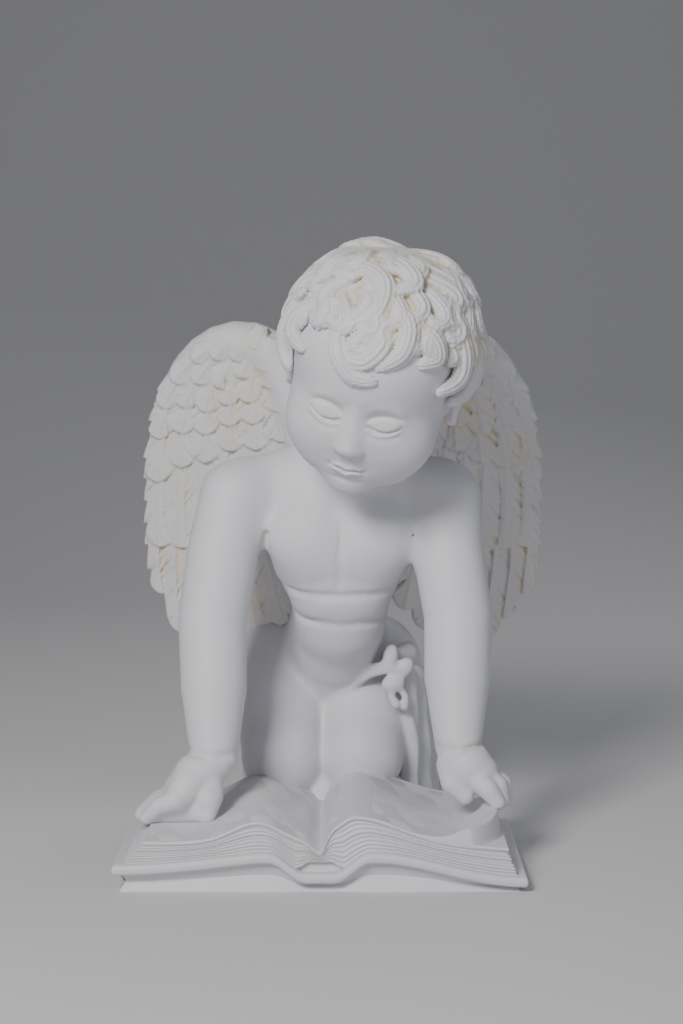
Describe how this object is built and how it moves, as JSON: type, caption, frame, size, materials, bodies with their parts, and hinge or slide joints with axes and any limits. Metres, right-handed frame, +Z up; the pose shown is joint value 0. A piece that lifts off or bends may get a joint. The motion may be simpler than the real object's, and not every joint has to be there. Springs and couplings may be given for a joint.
{
  "type": "angel statue",
  "caption": "Cast statue of a kneeling winged child that leans on its hands over an open book; its flat underside stands on the ground.",
  "frame": {"origin": "centre of the bounding box of the statue's footprint, on the ground", "axes": "+Z up; the figure faces -Y, and +X is towards the figure's left hand"},
  "size_m": [0.2986, 0.3246, 0.4243],
  "materials": {
    "plaster": null
  },
  "bodies": {
    "root": {"angel_with_book": "plaster"}
  },
  "joints": []
}
